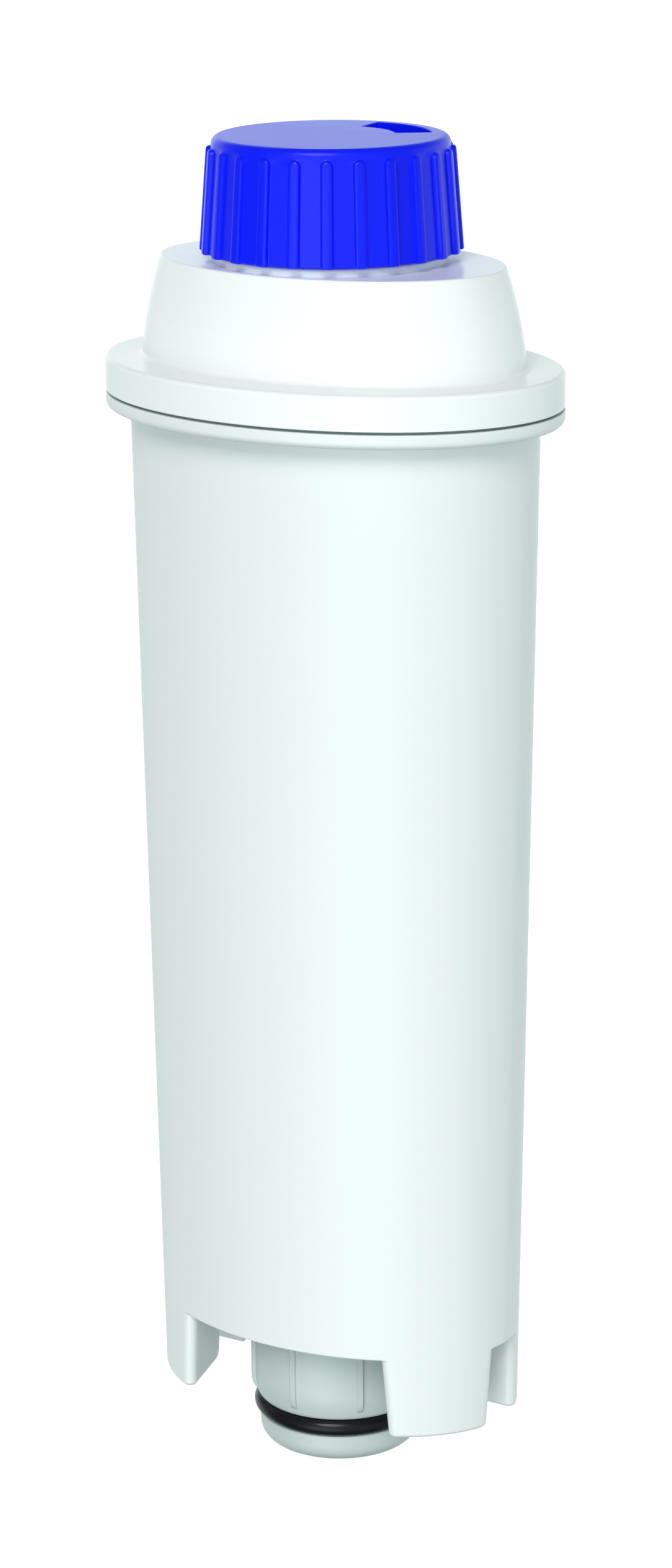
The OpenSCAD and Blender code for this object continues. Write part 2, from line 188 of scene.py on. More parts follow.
class LidSizes(PropertyGroup):
    """Sizes of the domed lid with its neck."""
    flange_depth: length("Flange", "Thickness of the lid's flange", 3.7)
    flange_round: length("Flange rounding", "Radius of the flange's upper edge", 0.5)
    lip_round: length("Lip rounding", "Radius of the flange's edge beside the gasket", 0.1)
    dome_end_in: length("Dome end inset", "How far the dome's foot stays inside the housing's end", 1.55)
    dome_side_in: length("Dome side inset", "How far the dome's foot stays inside the housing's side", 1.14)
    dome_height: length("Dome height", "Height of the dome above the flange", 10.6)
    dome_taper: length("Dome taper", "How much shorter the dome is at its top", 4.6)
    dome_fillet: length("Dome fillet", "Radius at the dome's foot", 0.45)
    rim: length("Rim", "Radius of the dome's upper rim", 0.3)
    top_plate: length("Top plate", "Thickness of the lid's top", 1.6)
    skirt_gap: length("Skirt gap", "Gap between the skirt and the housing", 0.12)
    neck: length("Neck", "Radius of the neck that the knob turns on", 11.3)
    neck_wall: length("Neck wall", "Wall of the neck", 1.5)
    collar: length("Collar", "How far the collar stands out of the neck", 0.9)
    collar_round: length("Collar rounding", "Radius of the collar's upper edge", 0.3)
    collar_gap: length("Collar gap", "Gap between the collar and the knob", 0.2)
    bead: length("Bead", "How far the snap bead stands out of the neck", 0.45)
    bead_height: length("Bead height", "Height of the snap bead", 1)


class KnobSizes(PropertyGroup):
    """Sizes of the ribbed selector knob."""
    bore: length("Bore", "Radius of the bore over the neck", 11.36)
    wall_low: length("Lower wall", "Wall at the knob's lower edge, between the ribs", 1.89)
    wall_high: length("Upper wall", "Wall below the shoulder, between the ribs", 1.04)
    top: length("Top", "Thickness of the knob's top", 1.6)
    shoulder: length("Shoulder", "Radius of the rounded shoulder", 0.8)
    rib_width: length("Rib width", "Width of a grip rib", 1.25)
    rib_height: length("Rib height", "How far a grip rib stands out", 0.5)
    rib_below_top: length("Rib below top", "Distance from the knob's top to the ribs' upper ends", 1.1)
    edge: length("Edge", "Bevel of the knob's lower edge", 0.12)
    window_in: length("Window inner radius", "Inner radius of the window", 6.7)
    window_out: length("Window outer radius", "Outer radius of the window", 10.6)
    window_round: length("Window rounding", "Radius of the window's corners", 0.25)
    ribs: IntProperty(name="Ribs", description="Number of grip ribs", default=24, min=8, max=48)
    window_angle: FloatProperty(name="Window angle", description="Angle that the window spans",
                                default=math.radians(58), subtype="ANGLE")
    window_at: FloatProperty(name="Window direction", description="Direction of the window's middle",
                             default=math.radians(65), subtype="ANGLE")


class SpigotSizes(PropertyGroup):
    """Sizes of the outlet spigot and its O-ring."""
    pipe: length("Pipe", "Radius of the pipe", 9.7)
    lip: length("Lip", "Radius of the lip over the O-ring", 9.1)
    tip: length("Tip", "Radius of the land under the O-ring", 8.9)
    tip_round: length("Tip rounding", "Radius of the tip's rounded end", 2)
    bore: length("Bore", "Radius of the outlet bore", 5)
    ring: length("O-ring", "Thickness of the O-ring's rubber", 2)
    swell: length("Swell", "Height over which the lip swells to the pipe", 2.8)
    rib_height: length("Rib height", "How far the ribs stand out", 0.35)
    rib_width: length("Rib width", "Width of the ribs", 0.75)
    flange: length("Flange", "Radius of the inner flange", 11.9)
    socket: length("Socket", "Outer radius of the tube's socket", 7.65)
    socket_wall: length("Socket wall", "Wall of the tube's socket", 1.6)
    groove_gap: length("Groove gap", "Gap at each side of the O-ring in its groove", 0.05)
    ribs: IntProperty(name="Ribs", description="Number of ribs on the pipe", default=8, min=4, max=16)


class Finishes(PropertyGroup):
    """Colours of the materials."""
    shell: colour("Shell", "White plastic of the housing and the lid", (0.84, 0.86, 0.855))
    knob: colour("Knob", "Blue plastic of the knob", (0.003, 0.012, 0.93))
    dial: colour("Dial", "Blue plastic of the month dial", (0.0, 0.001, 1.0))
    mark: colour("Marks", "Print on the month dial", (0.85, 0.88, 0.9))
    # The spigot's grey is painted shade: its pale plastic is darkened to stand for the shade that the
    # housing casts on it.
    spigot: colour("Spigot", "Pale grey plastic of the spigot", (0.56, 0.62, 0.61))
    rubber: colour("Rubber", "Black rubber of the O-rings", (0.006, 0.007, 0.0075))
    gasket: colour("Gasket", "Grey rubber of the gasket", (0.13, 0.19, 0.19))
    fleece: colour("Fleece", "Fleece pads of the bed", (0.82, 0.8, 0.7))
    carbon: colour("Carbon", "Activated carbon granules", (0.012, 0.012, 0.013))
    resin: colour("Resin", "Ion exchange beads", (0.5, 0.24, 0.04))


# --- Mesh building -----------------------------------------------------------


class Form:
    """The points and faces of one closed mesh."""

    def __init__(self):
        self.points = []
        self.faces = []

    def row(self, points):
        """Adds points and returns their numbers."""
        start = len(self.points)
        self.points += [tuple(p) for p in points]
        return list(range(start, len(self.points)))

    def band(self, lower, upper, closed=True):
        """Faces between two rows of as many points."""
        count = len(lower)
        for i in range(count if closed else count - 1):
            j = (i + 1) % count
            self.faces.append((lower[i], lower[j], upper[j], upper[i]))

    def bands(self, rows, closed=True):
        """Adds rows with faces between each and the next, and returns their numbers."""
        made = [self.row(r) for r in rows]
        for lower, upper in zip(made, made[1:]):
            self.band(lower, upper, closed)
        return made

    def fan(self, row, centre):
        """Closes a row to one point."""
        hub = self.row([centre])[0]
        for i, point in enumerate(row):
            self.faces.append((point, row[(i + 1) % len(row)], hub))

    def plane(self, *loops):
        """Fills the face between an outer loop and the loops inside it."""
        flat = [i for loop in loops for i in loop]
        outlines = [[Vector(self.points[i]) for i in loop] for loop in loops]
        self.faces += [tuple(flat[k] for k in corners) for corners in tessellate_polygon(outlines)]

    def mesh(self, name, sharp=30):
        """The welded mesh, shaded smooth except at edges sharper than an angle."""
        made = bpy.data.meshes.new(name)
        made.from_pydata(self.points, [], self.faces)
        work = bmesh.new()
        work.from_mesh(made)
        bmesh.ops.remove_doubles(work, verts=work.verts, dist=WELD)
        bmesh.ops.dissolve_degenerate(work, dist=WELD, edges=work.edges)
        bmesh.ops.recalc_face_normals(work, faces=work.faces)
        loose = [e for e in work.edges if not e.is_manifold]
        if loose:
            spots = [tuple(round(c / MM, 2) for c in e.verts[0].co) for e in loose[:4]]
            raise RuntimeError(f"{name} has {len(loose)} edges that don't join two faces, at {spots}")
        work.to_mesh(made)
        work.free()
        made.shade_smooth()
        made.set_sharp_from_angle(angle=math.radians(sharp))
        return made


def show(name, mesh, material, body, replaces=()):
    """Places a mesh as a piece of the object that rides on a body and stands for some nodes."""
    piece = bpy.data.objects.new(name, mesh)
    bpy.context.scene.collection.objects.link(piece)
    mesh.materials.clear()
    mesh.materials.append(material)
    even = piece.modifiers.new("Even shading", "WEIGHTED_NORMAL")
    even.keep_sharp = True
    even.weight = 60
    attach(piece, body)
    if replaces:
        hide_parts(*replaces)
    return piece


def spaced(start, end, steps):
    """Even values from a start to an end, both included."""
    return [start + (end - start) * i / steps for i in range(steps + 1)]


def straight(start, end, steps):
    """Points between two ends, the ends left out."""
    return list(zip(spaced(start[0], end[0], steps), spaced(start[1], end[1], steps)))[1:-1]


def arc(centre, radius, start, end, steps):
    """Points along an arc in a plane, both ends included."""
    turn = (end - start) / steps
    turns = [start + turn * i for i in range(steps + 1)]
    return [(centre[0] + radius * math.cos(t), centre[1] + radius * math.sin(t)) for t in turns]


def oval_point(a, b, t, inset=0.0):
    """A point of an oval of half sizes a and b, moved inwards along its normal."""
    nx, ny = oval_normal(a, b, t)
    return a * math.cos(t) - inset * nx, b * math.sin(t) - inset * ny


def oval_normal(a, b, t):
    """Outward normal of an oval at its parameter t."""
    x, y = math.cos(t) / a, math.sin(t) / b
    size = math.hypot(x, y)
    return x / size, y / size


def angles(count):
    """Even parameters round a turn."""
    return [TURN * i / count for i in range(count)]


def oval_row(a, b, z, turns):
    """Points of a level oval."""
    return [(a * math.cos(t), b * math.sin(t), z) for t in turns]


def turned(profile, turns):
    """Rows of points for a profile of (half length, half width, height)."""
    return [oval_row(a, b, z, turns) for a, b, z in profile]


def lathed(profile, turns):
    """Rows of points for a round profile of (radius, height)."""
    return [oval_row(r, r, z, turns) for r, z in profile]


def rounding(corner_a, corner_b, z, radius, way, rise, steps=4):
    """Profile points of a quarter round from the side to the end face of an oval rim.

    way is -1 where the rim's material lies inwards and 1 in a fillet that widens outwards. rise is 1 where
    the end face lies above the side and -1 where it lies below.
    """
    made = []
    for i in range(steps + 1):
        turn = QUARTER * i / steps
        reach = way * radius * (1 - math.cos(turn))
        made.append((corner_a + reach, corner_b + reach, z - rise * radius * (1 - math.sin(turn))))
    return made


# --- Housing -----------------------------------------------------------------


class Hull:
    """The outside and inside of the tapered housing, and the plan of its legs."""

    def __init__(self, s):
        self.s = s
        self.floor = FLOOR_TOP - s.floor_depth
        self.flange = GASKET_LOW - s.flange_depth
        self.leg = self.floor - FEET
        self.flat = s.width_at_floor / s.length_at_floor
        self.inner_flat = (s.width_at_floor / 2 - s.wall) / (s.length_at_floor / 2 - s.wall)
        self.slope = s.taper / 2 / (self.flange - self.floor)
        self.side_face = s.side_gap / 2 + s.gap_draft + s.rib
        self.end_face = s.end_gap / 2 + s.gap_draft + s.rib
        self.side_tip = s.width_at_floor / 2 - s.side_rib_reach
        self.end_tip = s.length_at_floor / 2 - s.end_rib_reach

    def outside(self, z):
        """Half length and half width outside at a height."""
        a = self.s.length_at_floor / 2 + self.slope * (z - self.floor)
        return a, a * self.flat

    def inside(self, z):
        """Half length and half width inside at a height."""
        a = self.outside(z)[0] - self.s.wall
        return a, a * self.inner_flat

    def gap_faces(self, z, inset):
        """Where the gap's sides stand at a height: x beside the side gap and y beside the end gap."""
        lean = self.s.gap_draft * (self.floor - z) / self.leg + inset
        return self.s.side_gap / 2 + lean, self.s.end_gap / 2 + lean

    def touch(self, a, b, radius, line, axis):
        """The parameter and centre of a circle inside the oval that also touches a line across an axis."""
        least, most = 0.0, QUARTER
        for _ in range(50):
            t = (least + most) / 2
            centre = oval_point(a, b, t, radius)
            too_far = centre[0] < line + radius if axis == 0 else centre[1] > line + radius
            least, most = (least, t) if too_far else (t, most)
        return t, centre

    def corners(self, z, inset=0.0):
        """The parameters and circles of a leg's two upright outer corners."""
        a, b = self.outside(z)
        a, b = a - inset, b - inset
        side, end = self.gap_faces(z, inset)
        radius = max(self.s.corner - inset, LEAST_RADIUS)
        return radius, self.touch(a, b, radius, side, 0), self.touch(a, b, radius, end, 1)

    def shell_arc(self, z, inset=0.0):
        """The outer side of a leg, from its corner at the side gap to its corner at the end gap."""
        a, b = self.outside(z)
        _, (t_side, _), (t_end, _) = self.corners(z, inset)
        return [oval_point(a - inset, b - inset, t) for t in spaced(t_side, t_end, LEG_STEPS)]

    def rib_path(self, z, inset=0.0):
        """The rest of a leg's plan, from the end gap's corner round both ribs to the side gap's corner."""
        a, b = self.outside(z)
        a, b = a - inset, b - inset
        side, end = self.gap_faces(z, inset)
        radius, (t_side, side_hub), (t_end, end_hub) = self.corners(z, inset)
        ix, iy = (half - self.s.wall + inset for half in self.outside(z))
        inner = self.s.inner_corner + inset
        tip = max(self.s.rib_corner - inset / 2, LEAST_RADIUS)
        side_face, end_face = self.side_face - inset, self.end_face - inset
        side_tip, end_tip = self.side_tip + inset, self.end_tip + inset
        t_low, low_hub = self.touch(ix, iy, inner, end_face, 1)
        t_up, up_hub = self.touch(ix, iy, inner, side_face, 0)
        nx, ny = oval_normal(a, b, t_end)
        path = arc(end_hub, radius, math.atan2(ny, nx), -QUARTER, 6)
        path += straight(path[-1], (end_tip + tip, end), 5)
        path += arc((end_tip + tip, end + tip), tip, -QUARTER, -math.pi, 3)
        path += arc((end_tip + tip, end_face - tip), tip, math.pi, QUARTER, 3)
        nx, ny = oval_normal(ix, iy, t_low)
        bend = arc(low_hub, inner, -QUARTER, math.atan2(ny, nx), 4)
        path += straight(path[-1], bend[0], 4) + bend
        path += [oval_point(ix, iy, t) for t in spaced(t_low, t_up, 24)[1:-1]]
        nx, ny = oval_normal(ix, iy, t_up)
        bend = arc(up_hub, inner, math.atan2(ny, nx), math.pi, 4)
        path += bend + straight(bend[-1], (side_face, side_tip + tip), 5)
        path += arc((side_face - tip, side_tip + tip), tip, 0, -QUARTER, 3)
        path += arc((side + tip, side_tip + tip), tip, -QUARTER, -math.pi, 3)
        nx, ny = oval_normal(a, b, t_side)
        bend = arc(side_hub, radius, math.pi, math.atan2(ny, nx), 6)
        return path + straight(path[-1], bend[0], 12) + bend

    def rise(self, x, y):
        """How far a foot lifts off at a point, under the ribs beside the side gaps."""
        along = (self.side_tip + self.s.slope_length - y) / self.s.slope_length
        across = (self.side_face + self.s.inner_corner - x) / self.s.inner_corner
        return self.s.slope_rise * min(max(along, 0.0), 1.0) * min(max(across, 0.0), 1.0)

    def leg_rows(self):
        """The leg's outline from the floor to its rounded feet, as rows of points."""
        radius = self.s.foot_round
        levels = [(self.floor - self.leg * i / 3, 0.0) for i in range(3)]
        levels += [(FEET + radius * (1 - math.sin(t)), radius * (1 - math.cos(t)))
                   for t in spaced(0, QUARTER, 4)]
        rows = []
        for z, inset in levels:
            plan = self.shell_arc(z, inset)[:-1] + self.rib_path(z, inset)[:-1]
            drop = (self.floor - z) / self.leg
            rows.append([(x, y, z + self.rise(x, y) * drop) for x, y in plan])
        return rows

    def quarter(self):
        """Parameters of a quarter of the oval: those of the end gap, of the leg and of the side gap."""
        a, b = self.outside(self.floor)
        _, (t_side, _), (t_end, _) = self.corners(self.floor)
        leg = spaced(t_end, t_side, LEG_STEPS)
        return gap_steps(a, b, t_end, 0.0, 5)[::-1], leg, gap_steps(a, b, t_side, QUARTER, 24)

    def turns(self):
        """Parameters of the whole oval, with the legs' corners among them."""
        end, leg, side = self.quarter()
        first = end + leg + side
        second = [math.pi - t for t in first[-2::-1]]
        half = first + second
        return half + [t + math.pi for t in half[1:-1]]

    def hem_share(self, t):
        """How much of the hem's rounding a point over a gap has: none at the legs."""
        t = math.acos(min(abs(math.cos(t)), 1.0))
        a, b = self.outside(self.floor)
        _, (t_side, _), (t_end, _) = self.corners(self.floor)
        for edge, past in ((t_end, t_end - t), (t_side, t - t_side)):
            if past > 0:
                away = past * math.hypot(a * math.sin(edge), b * math.cos(edge))
                return min(1.0, (away / HEM_BLEND) ** 2)
        return 0.0

    def hem_row(self, z, inset, turns):
        """The wall's lower edge at a height, set in over the gaps."""
        a, b = self.outside(z)
        return [(*oval_point(a, b, t, inset * self.hem_share(t)), z) for t in turns]

    def underside(self):
        """The outline of the floor's underside, round the gaps and inside the legs."""
        end, _, side = self.quarter()
        a, b = self.outside(self.floor)
        hem = self.s.hem
        end, side = ([oval_point(a, b, t, hem * self.hem_share(t)) for t in gap] for gap in (end, side))
        first = end + self.rib_path(self.floor) + side
        half = first + [(-x, y) for x, y in first[-2::-1]]
        return [(x, y, self.floor) for x, y in half + [(-x, -y) for x, y in half[1:-1]]]

    def slits(self):
        """Plans of the inlet slits, three at each end."""
        reach, reach_y = self.inside(self.floor)
        half = self.s.slit_width / 2
        plans = []
        for side in (1, -1):
            for row in (-1, 0, 1):
                y = row * self.s.slit_pitch
                near = math.sqrt((SPIGOT_LAND + BRIDGE) ** 2 - y * y) + half
                far = reach * math.sqrt(1 - (y / reach_y) ** 2) - BRIDGE - half
                plan = arc((far, y), half, -QUARTER, QUARTER, 8)
                plan += arc((near, y), half, QUARTER, 3 * QUARTER, 8)
                plans.append([(side * px, py) for px, py in plan])
        return plans


def gap_steps(a, b, edge, middle, count):
    """Parameters over half a gap, close together beside the leg, from the leg to the middle."""
    speed = math.hypot(a * math.sin(edge), b * math.cos(edge))
    way = 1 if middle > edge else -1
    close = [edge + way * HEM_BLEND * i / 4 / speed for i in range(1, 5)]
    return close + spaced(close[-1], middle, count)[1:]


def housing_mesh(s):
    """The oval shell with its flange, floor, slits and four legs."""
    hull = Hull(s)
    form = Form()
    turns = hull.turns()
    fillet = s.flange_fillet

    # Outside, from the hem to the flange's upper edge
    rows = [hull.hem_row(hull.floor + s.hem * (1 - math.sin(t)), s.hem * (1 - math.cos(t)), turns)
            for t in spaced(QUARTER, 0, 3)]
    walls = spaced(hull.floor + s.hem, hull.flange - fillet, 12)[1:]
    rows += turned([(*hull.outside(z), z) for z in walls], turns)
    a, b = hull.outside(hull.flange)
    profile = rounding(a, b, hull.flange, fillet, 1, 1)[1:]
    profile += rounding(FLANGE_A, FLANGE_B, hull.flange, s.flange_round, -1, -1, 6)[::-1]
    profile += rounding(FLANGE_A, FLANGE_B, GASKET_LOW, s.lip_round, -1, 1, 3)

    # The rim and the cavity
    profile += [(*hull.inside(z), z) for z in (GASKET_LOW, (GASKET_LOW + FLOOR_TOP) / 2, FLOOR_TOP)]
    made = form.bands(rows + turned(profile, turns))

    # The holes through the floor, and the floor's two faces
    round_hole = arc((0, 0), s.spigot_hole, 0, TURN, HOLE_POINTS)[:-1]
    under, over = [form.row(hull.underside())], [made[-1]]
    for plan in [round_hole] + hull.slits():
        lower, upper = form.bands([[(x, y, z) for x, y in plan] for z in (hull.floor, FLOOR_TOP)])
        under.append(lower)
        over.append(upper)
    form.plane(*under)
    form.plane(*over)

    # The legs
    for sx in (1, -1):
        for sy in (1, -1):
            leg = form.bands([[(sx * x, sy * y, z) for x, y, z in row] for row in hull.leg_rows()])
            form.plane(leg[-1])
    return form.mesh("housing_shell")


# --- Lid ---------------------------------------------------------------------


def dome_half(s, hull, t):
    """Half length and half width of the dome at a share of its height."""
    a, b = hull.outside(hull.flange)
    foot_a, foot_b = a - s.dome_end_in, b - s.dome_side_in
    size = foot_a - s.dome_taper / 2 * t ** DOME_CURVE
    return size, size * foot_b / foot_a


def lid_mesh(s, hull):
    """The lid with its skirt, flange, dome, collar and neck."""
    foot = GASKET_TOP + s.flange_depth
    top = foot + s.dome_height
    collar_top = KNOB_LOW - s.collar_gap
    collar = s.neck + s.collar

    # The neck, from the plate inside it over its edge and its snap bead down to the collar
    bead = NECK_TOP - 2 * s.bead_height
    hollow = s.neck - s.neck_wall
    swell = s.neck + s.bead
    bevel = 0.2 * MM
    neck = [(hollow, top), (hollow, NECK_TOP), (s.neck - bevel, NECK_TOP), (s.neck, NECK_TOP - bevel)]
    neck += [(s.neck, bead + s.bead_height), (swell, bead + 0.7 * s.bead_height)]
    neck += [(swell, bead + 0.3 * s.bead_height), (s.neck, bead), (s.neck, collar_top)]
    profile = [(r, r, z) for r, z in neck]

    # The collar, the lid's top and its rim, and the dome between the rim and the fillet at its foot
    profile += rounding(collar, collar, collar_top, s.collar_round, -1, 1, 4)[::-1]
    profile += [(collar, collar, top)]
    a, b = dome_half(s, hull, 1 - s.rim / s.dome_height)
    profile += rounding(a, b, top, s.rim, -1, 1, 5)[::-1]
    side = [(*dome_half(s, hull, i / 12), foot + s.dome_height * i / 12) for i in range(13)]
    over_fillet, under_rim = foot + 1.2 * s.dome_fillet, top - 1.5 * s.rim
    profile += [point for point in side[::-1] if over_fillet < point[2] < under_rim]
    a, b = dome_half(s, hull, s.dome_fillet / s.dome_height)
    profile += rounding(a, b, foot, s.dome_fillet, 1, -1, 4)

    # The flange and the skirt
    profile += rounding(FLANGE_A, FLANGE_B, foot, s.flange_round, -1, 1, 6)[::-1]
    profile += rounding(FLANGE_A, FLANGE_B, GASKET_TOP, s.lip_round, -1, -1, 3)
    wall = hull.s.wall
    for inset, z in ((0, GASKET_TOP), (0, SKIRT_LOW), (wall, SKIRT_LOW), (wall, GASKET_TOP)):
        a, b = hull.inside(z)
        profile.append((a - s.skirt_gap - inset, b - s.skirt_gap - inset, z))

    # The dome's inside up to the top plate
    for i in range(7):
        a, b = dome_half(s, hull, i / 6 * (1 - s.top_plate / s.dome_height))
        profile.append((a - wall, b - wall, foot + (s.dome_height - s.top_plate) * i / 6))

    form = Form()
    made = form.bands(turned(profile, angles(LID_POINTS)))
    form.fan(made[0], (0, 0, top))
    form.fan(made[-1], (0, 0, top - s.top_plate))
    return form.mesh("lid_cover")


def gasket_mesh(hull):
    """The thin ring between the two flanges."""
    edge = high("flange_gasket")
    inner = hull.inside(GASKET_LOW)
    soft = 0.06 * MM
    middle = (GASKET_LOW + GASKET_TOP) / 2
    profile = [(*inner, GASKET_LOW), (edge.x - soft, edge.y - soft, GASKET_LOW), (edge.x, edge.y, middle),
               (edge.x - soft, edge.y - soft, GASKET_TOP), (*inner, GASKET_TOP)]
    form = Form()
    made = form.bands(turned(profile, angles(LID_POINTS)))
    form.band(made[-1], made[0])
    return form.mesh("gasket_ring")


# --- Selector knob -----------------------------------------------------------


class Grip:
    """The knob's ribbed side, pitch by pitch."""

    def __init__(self, s):
        self.s = s
        self.low_radius = s.bore + s.wall_low
        self.high_radius = s.bore + s.wall_high
        self.shoulder_low = KNOB_TOP - s.shoulder
        self.start = KNOB_LOW + s.edge
        self.pitch = TURN / s.ribs
        self.mean = (self.low_radius + self.high_radius) / 2
        self.half = self.mean * self.pitch / 2
        self.crown = KNOB_TOP - s.rib_below_top - s.rib_width / 2
        top_corner = math.atan2(self.shoulder_low - self.crown, self.half)
        spread = [top_corner + (math.pi - 2 * top_corner) * i / 6 for i in range(7)]
        self.fans = [0.0, top_corner / 2] + spread + [math.pi - top_corner / 2, math.pi]
        self.levels = spaced(self.start, self.crown, 8)
        self.crest = s.rib_height * RIB_CROWN

    def side(self, z):
        """Radius of the knob between its ribs at a height."""
        along = (z - KNOB_LOW) / (self.shoulder_low - KNOB_LOW)
        return self.low_radius + (self.high_radius - self.low_radius) * along

    def place(self, rib, across, z, lift=0.0):
        """A point of the side, at a distance across from a rib's middle and lifted off the surface."""
        turn = rib * self.pitch + across / self.mean
        radius = self.side(z) + lift
        return radius * math.cos(turn), radius * math.sin(turn), z

    def frame_path(self):
        """The border of one pitch, from its lower left corner over the top to its lower right corner."""
        path = [(-self.half, z) for z in self.levels[:-1]]
        rise = self.shoulder_low - self.crown
        for turn in self.fans[::-1]:
            x, y = math.cos(turn), math.sin(turn)
            size = min(self.half / max(abs(x), 1e-9), rise / max(y, 1e-9))
            path.append((x * size, self.crown + y * size))
        return path + [(self.half, z) for z in self.levels[-2::-1]]

    def rib_path(self, reach):
        """An arch round the rib at a distance from its middle line."""
        path = [(-reach, z) for z in self.levels[:-1]]
        path += [(reach * math.cos(t), self.crown + reach * math.sin(t)) for t in self.fans[::-1]]
        return path + [(reach, z) for z in self.levels[-2::-1]]

    def steps(self):
        """Distances from the rib's middle line and heights there, from its foot to its crest."""
        half, tall = self.s.rib_width / 2, self.s.rib_height
        return [(half + 0.12 * MM, 0.0), (half + 0.02 * MM, 0.08 * tall), (half - 0.03 * MM, 0.5 * tall),
                (half - 0.1 * MM, 0.82 * tall), (half - 0.22 * MM, 0.97 * tall), (half - 0.38 * MM, tall)]

    def build(self, form):
        """Adds every pitch of the side."""
        for rib in range(self.s.ribs):
            rows = [[self.place(rib, u, z) for u, z in self.frame_path()]]
            for reach, lift in self.steps():
                rows.append([self.place(rib, u, z, lift) for u, z in self.rib_path(reach)])
            crest = form.bands(rows, closed=False)[-1]
            middle = form.row([self.place(rib, 0, z, self.crest) for z in self.levels])
            count = len(self.levels)
            form.band(crest[:count], middle, closed=False)
            form.band(middle[::-1], crest[-count:], closed=False)
            cap = crest[count - 1:len(crest) - count + 1]
            for one, other in zip(cap, cap[1:]):
                form.faces.append((one, other, middle[-1]))

    def low_outline(self):
        """Turn and radius of each point of the lowest row."""
        outline = []
        for rib in range(self.s.ribs):
            across = [(-self.half, 0.0)] + [(-reach, lift) for reach, lift in self.steps()]
            across += [(0.0, self.crest)] + self.steps()[::-1]
            for u, lift in across:
                outline.append((rib * self.pitch + u / self.mean, self.side(self.start) + lift))
        return outline

    def high_turns(self):
        """Turns of the points where the side meets the shoulder."""
        top = [u for u, z in self.frame_path() if z > self.shoulder_low - WELD][:-1]
        return [rib * self.pitch + u / self.mean for rib in range(self.s.ribs) for u in top]


def window_plan(s, grow=0.0):
    """The window's outline, a sector of a ring with rounded corners, grown on all sides."""
    soft = s.window_round + grow
    polar = []
    for hub, side, start in ((s.window_out + grow - soft, 1, 0), (s.window_in - grow + soft, 1, 1),
                             (s.window_in - grow + soft, -1, 2), (s.window_out + grow - soft, -1, 3)):
        middle = s.window_at + side * (s.window_angle / 2 - (soft - grow) / hub)
        for x, y in arc((0, 0), soft, QUARTER * start, QUARTER * (start + 1), 4):
            polar.append((hub + x, middle + y / hub))
    plan = []
    for (r, turn), (next_r, next_turn) in zip(polar, polar[1:] + polar[:1]):
        steps = max(1, round(abs(next_turn - turn) / math.radians(2.5)))
        for i in range(steps):
            radius, at = r + (next_r - r) * i / steps, turn + (next_turn - turn) * i / steps
            plan.append((radius * math.cos(at), radius * math.sin(at)))
    return plan


def knob_mesh(s):
    """The knob with its grip ribs, shoulder, window and bore."""
    grip = Grip(s)
    form = Form()
    grip.build(form)

    def ring(turns_radii, z):
        return [(r * math.cos(t), r * math.sin(t), z) for t, r in turns_radii]

    # The lower edge, the bore and the underside of the top
    outline = grip.low_outline()
    ceiling = KNOB_TOP - s.top
    lead = 0.25 * MM
    rows = [ring(outline, grip.start), ring([(t, r - s.edge) for t, r in outline], KNOB_LOW)]
    for r, z in ((s.bore + lead, KNOB_LOW), (s.bore, KNOB_LOW + lead), (s.bore, ceiling)):
        rows.append(ring([(t, r) for t, _ in outline], z))
    under = form.bands(rows)[-1]

    # The shoulder
    turns = grip.high_turns()
    profile = arc((grip.high_radius - s.shoulder, grip.shoulder_low), s.shoulder, 0, QUARTER, 6)
    over = form.bands(lathed(profile, turns))[-1]

    # The window
    soft = 0.1 * MM
    plans = [(window_plan(s, soft), KNOB_TOP), (window_plan(s), KNOB_TOP - soft), (window_plan(s), ceiling)]
    window = form.bands([[(x, y, z) for x, y in plan] for plan, z in plans])
    form.plane(over, window[0])
    form.plane(under, window[-1])
    return form.mesh("knob_cap")


# --- Month dial --------------------------------------------------------------


def dial_mesh(s):
    """The disc under the window, with a plug that fits the neck."""
    disc = high("month_dial").x
    plug = s.neck - s.neck_wall - PUSH_GAP
    hollow = plug - s.neck_wall
    bottom = low("month_dial").z
    soft = 0.15 * MM
    profile = [(disc - soft, DIAL_TOP), (disc, DIAL_TOP - soft), (disc, NECK_TOP + soft)]
    profile += [(disc - soft, NECK_TOP), (plug, NECK_TOP), (plug, bottom + soft), (plug - soft, bottom)]
    profile += [(hollow, bottom), (hollow, NECK_TOP)]
    form = Form()
    made = form.bands(lathed(profile, angles(DIAL_POINTS)))
    form.fan(made[0], (0, 0, DIAL_TOP))
    form.fan(made[-1], (0, 0, NECK_TOP))
    return form.mesh("dial_disc")


def dial_marks_mesh():
    """Raised month numbers and the ticks between them."""
    work = bmesh.new()
    out = Matrix.Translation((MARK_RADIUS, 0, DIAL_TOP))
    for month in range(MONTHS):
        text = bpy.data.curves.new("month_number", "FONT")
        text.body = str(month + 1)
        text.size = MARK_SIZE
        text.align_x = "CENTER"
        text.align_y = "CENTER"
        text.extrude = MARK_RAISED
        holder = bpy.data.objects.new("month_number", text)
        turn = TURN * month / MONTHS
        mesh = bpy.data.meshes.new_from_object(holder)
        mesh.transform(Matrix.Rotation(turn, 4, "Z") @ out @ Matrix.Rotation(-QUARTER, 4, "Z"))
        work.from_mesh(mesh)
        bpy.data.objects.remove(holder)
        bpy.data.curves.remove(text)
        bpy.data.meshes.remove(mesh)
        tick = bmesh.ops.create_cube(work, size=1.0)["verts"]
        size = Matrix.Diagonal((MARK_SIZE, TICK_WIDTH, 2 * MARK_RAISED, 1))
        place = Matrix.Rotation(turn + TURN / MONTHS / 2, 4, "Z") @ out @ size
        bmesh.ops.transform(work, matrix=place, verts=tick)
    made = bpy.data.meshes.new("dial_marks")
    work.to_mesh(made)
    work.free()
    return made


# --- Spigot and O-ring -------------------------------------------------------


